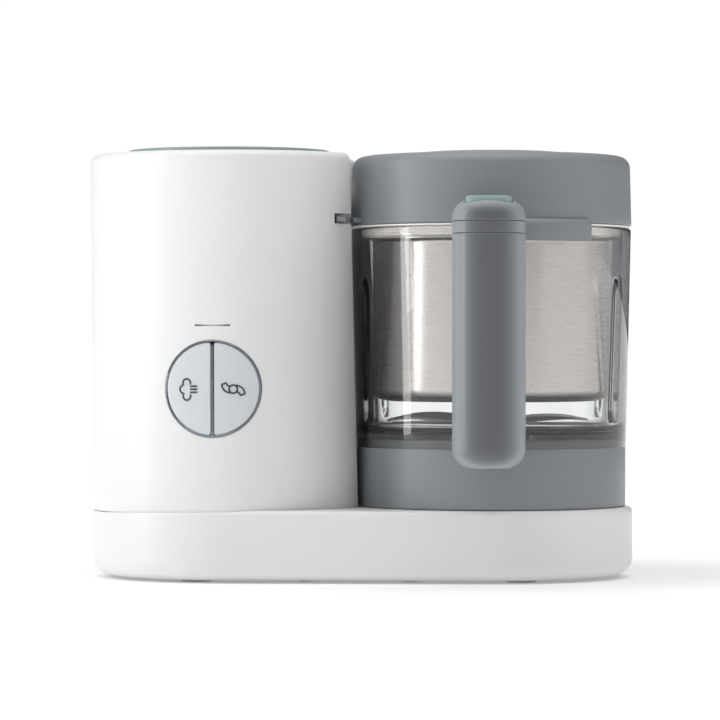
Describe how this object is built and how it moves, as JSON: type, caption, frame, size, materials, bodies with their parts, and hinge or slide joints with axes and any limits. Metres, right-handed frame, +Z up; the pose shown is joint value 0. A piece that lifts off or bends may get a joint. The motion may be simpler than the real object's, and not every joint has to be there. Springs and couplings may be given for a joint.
{
  "type": "baby food maker",
  "caption": "Steam cooker and blender on an oval base: tower with water tank and two buttons, glass jug with steel basket, blade, lid and front handle.",
  "frame": {"origin": "centre of the footprint box, on the surface that it stands on", "axes": "+Z up, +X from the tower to the jug, -Y the front with the buttons and the handle"},
  "size_m": [0.314, 0.2156, 0.2464],
  "materials": {
    "white_plastic": "satin moulded",
    "grey_plastic": "fine satin",
    "pale_green_plastic": "fine satin",
    "button_plastic": "satin",
    "dark_plastic": "moulded",
    "silicone": "soft translucent grey",
    "rubber": "matte",
    "steel": "brushed",
    "chrome": "polished",
    "clear_glass": "clear polished",
    "circuit_board": "satin"
  },
  "bodies": {
    "root": {"base_shell": "white_plastic", "bottom_plate": "white_plastic", "foot_1": "rubber", "foot_2": "rubber", "foot_3": "rubber", "foot_4": "rubber", "base_screw_1": "steel", "base_screw_2": "steel", "base_screw_3": "steel", "base_screw_4": "steel", "cord_gland": "rubber", "tower_shell": "white_plastic", "accent_strip": "chrome", "button_bezel": "chrome", "steam_switch": "dark_plastic", "blend_switch": "dark_plastic", "control_board": "circuit_board", "water_tank": "steel", "heater_plate": "dark_plastic", "steam_nozzle": "silicone", "hinge_bracket": "white_plastic", "hinge_pin": "steel", "steam_pipe": "silicone", "motor": "steel", "motor_bracket": "steel", "drive_bearing": "steel", "drive_belt": "rubber", "interlock_switch": "dark_plastic"},
    "tank_lid_body": {"tank_lid": "pale_green_plastic", "tank_lid_seal": "silicone"},
    "steam_button_body": {"steam_button": "button_plastic"},
    "blend_button_body": {"blend_button": "button_plastic"},
    "motor_rotor": {"motor_shaft": "steel", "motor_pulley": "dark_plastic"},
    "drive": {"drive_pulley": "dark_plastic", "drive_shaft": "steel", "drive_coupling": "dark_plastic"},
    "jug": {"collar": "grey_plastic", "glass_bowl": "clear_glass", "blade_bush": "grey_plastic", "handle_grip": "grey_plastic", "handle_back": "grey_plastic", "handle_cap": "grey_plastic", "handle_bracket": "grey_plastic", "latch_seat": "dark_plastic", "latch_spring": "steel"},
    "blades": {"blade_shaft": "steel", "blade_coupling": "dark_plastic", "blade": "steel", "blade_nut": "steel"},
    "lid": {"lid_shell": "grey_plastic", "lid_cover": "grey_plastic", "lid_plate": "grey_plastic", "lid_gasket": "silicone", "lid_tab": "grey_plastic", "lid_steam_tube": "silicone"},
    "basket_body": {"basket": "steel", "basket_rim": "silicone"},
    "thumb": {"thumb_button": "pale_green_plastic", "latch_rod": "steel"}
  },
  "joints": [
    {"name": "jug_lift", "type": "slide", "parent": "root", "child": "jug", "axis": [0, 0, 1], "range_m": [0, 0.06]},
    {"name": "lid_lift", "type": "slide", "parent": "jug", "child": "lid", "axis": [0, 0, 1], "range_m": [0, 0.21]},
    {"name": "basket_lift", "type": "slide", "parent": "jug", "child": "basket_body", "axis": [0, 0, 1], "range_m": [0, 0.105]},
    {"name": "drive_spin", "type": "hinge", "parent": "root", "child": "drive", "pos_m": [0.0753, 0.0262, 0.018], "axis": [0, 0, 1], "continuous": true},
    {"name": "motor_spin", "type": "hinge", "parent": "root", "child": "motor_rotor", "pos_m": [-0.0754, 0.0262, 0.018], "axis": [0, 0, 1], "continuous": true},
    {"name": "blade_spin", "type": "hinge", "parent": "jug", "child": "blades", "pos_m": [0.0753, 0.0262, 0.088], "axis": [0, 0, 1], "continuous": true},
    {"name": "tank_lid_hinge", "type": "hinge", "parent": "root", "child": "tank_lid_body", "pos_m": [-0.0766, 0.0882, 0.2444], "axis": [-1, 0, 0], "range_deg": [0, 95]},
    {"name": "steam_press", "type": "slide", "parent": "root", "child": "steam_button_body", "axis": [0.0558, 0.9984, 0], "range_m": [0, 0.0015], "stiffness_N_per_m": 600},
    {"name": "blend_press", "type": "slide", "parent": "root", "child": "blend_button_body", "axis": [0.0558, 0.9984, 0], "range_m": [0, 0.0015], "stiffness_N_per_m": 600},
    {"name": "thumb_press", "type": "slide", "parent": "jug", "child": "thumb", "axis": [0, 0, -1], "range_m": [0, 0.0015], "stiffness_N_per_m": 600, "deforming": ["latch_spring"]}
  ],
  "couplings": [
    {"joint": "basket_lift", "follows": "lid_lift", "ratio": 0.5},
    {"joint": "motor_spin", "follows": "drive_spin", "ratio": 2.5},
    {"joint": "blade_spin", "follows": "drive_spin", "ratio": 1}
  ]
}
